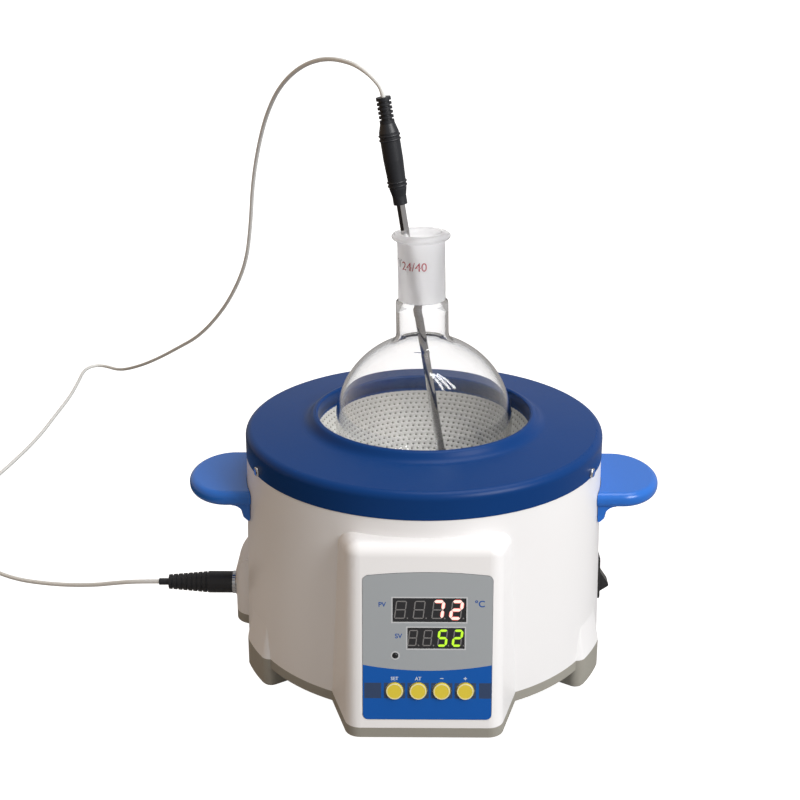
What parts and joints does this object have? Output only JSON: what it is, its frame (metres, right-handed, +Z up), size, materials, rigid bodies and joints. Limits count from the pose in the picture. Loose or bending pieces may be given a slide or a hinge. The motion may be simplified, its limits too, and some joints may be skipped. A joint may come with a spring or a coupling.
{
  "type": "heating mantle",
  "caption": "Laboratory heating mantle with a woven bowl, side handles and a digital temperature panel, holding a glass flask with a probe on a lead",
  "frame": {"origin": "On the bench under the feet, on the axis of the round body.", "axes": "+Z up along the body's axis; the control panel faces -Y; the mains switch faces +X and the probe socket faces -X."},
  "size_m": [0.4967, 0.6651, 0.3634],
  "materials": {
    "housing": "glossy white moulded plastic",
    "base": "satin warm grey plastic",
    "cover": "satin blue paint on sheet steel",
    "handle": "glossy blue moulded plastic",
    "steel": "bright machined steel",
    "sheet_metal": "plain zinc-plated sheet",
    "woven_glass": "woven glass-fibre cloth",
    "wool": "packed mineral wool",
    "label": "printed grey and blue film",
    "display": "dark display filter",
    "lamp": "translucent red lamp",
    "board": "green circuit board",
    "black_plastic": "black moulded plastic",
    "button": "yellow silicone rubber",
    "black_rubber": "black moulded rubber",
    "glass": "clear blown glass with a ground joint",
    "lead": "silvery white insulated cable",
    "brass": "plated brass contact",
    "aluminium": "extruded aluminium"
  },
  "bodies": {
    "mantle": {"housing_shell": "housing", "base_tray": "base", "tray_screws": "steel", "top_cover": "cover", "cover_screws": "steel", "handle_right": "handle", "handle_left": "handle", "handle_screws": "steel", "heating_bowl": "woven_glass", "heating_wire": "steel", "wool_lining": "wool", "inner_pot": "sheet_metal", "pot_legs": "sheet_metal", "leg_rivets": "sheet_metal", "panel_label": "label", "display_pv": "display", "display_sv": "display", "indicator_lamp": "lamp", "control_board": "board", "tact_switches": "black_plastic", "board_screws": "steel", "switch_frame": "black_plastic", "sensor_socket": "steel", "socket_nut": "steel", "sensor_plug": "steel", "plug_boot": "black_rubber", "flask": "glass", "flask_joint": "glass", "probe_stem": "steel", "probe_handle": "black_plastic", "sensor_lead": "lead", "mains_inlet": "black_plastic", "inlet_pins": "brass", "power_board": "board", "heat_sink": "aluminium", "terminal_block": "black_plastic"},
    "button_set": {"button_set": "button"},
    "button_auto_tune": {"button_auto_tune": "button"},
    "button_down": {"button_down": "button"},
    "button_up": {"button_up": "button"},
    "rocker": {"switch_rocker": "black_plastic"}
  },
  "joints": [
    {"name": "press_set", "type": "slide", "parent": "mantle", "child": "button_set", "axis": [0, 0.9848, -0.1736], "range_m": [0, 0.0006], "stiffness_N_per_m": 2500},
    {"name": "press_auto_tune", "type": "slide", "parent": "mantle", "child": "button_auto_tune", "axis": [0, 0.9848, -0.1736], "range_m": [0, 0.0006], "stiffness_N_per_m": 2500},
    {"name": "press_down", "type": "slide", "parent": "mantle", "child": "button_down", "axis": [0, 0.9848, -0.1736], "range_m": [0, 0.0006], "stiffness_N_per_m": 2500},
    {"name": "press_up", "type": "slide", "parent": "mantle", "child": "button_up", "axis": [0, 0.9848, -0.1736], "range_m": [0, 0.0006], "stiffness_N_per_m": 2500},
    {"name": "flip_switch", "type": "hinge", "parent": "mantle", "child": "rocker", "pos_m": [0.10831, 0.004, 0.04315], "axis": [0, 1, 0], "range_deg": [0, 20]}
  ]
}
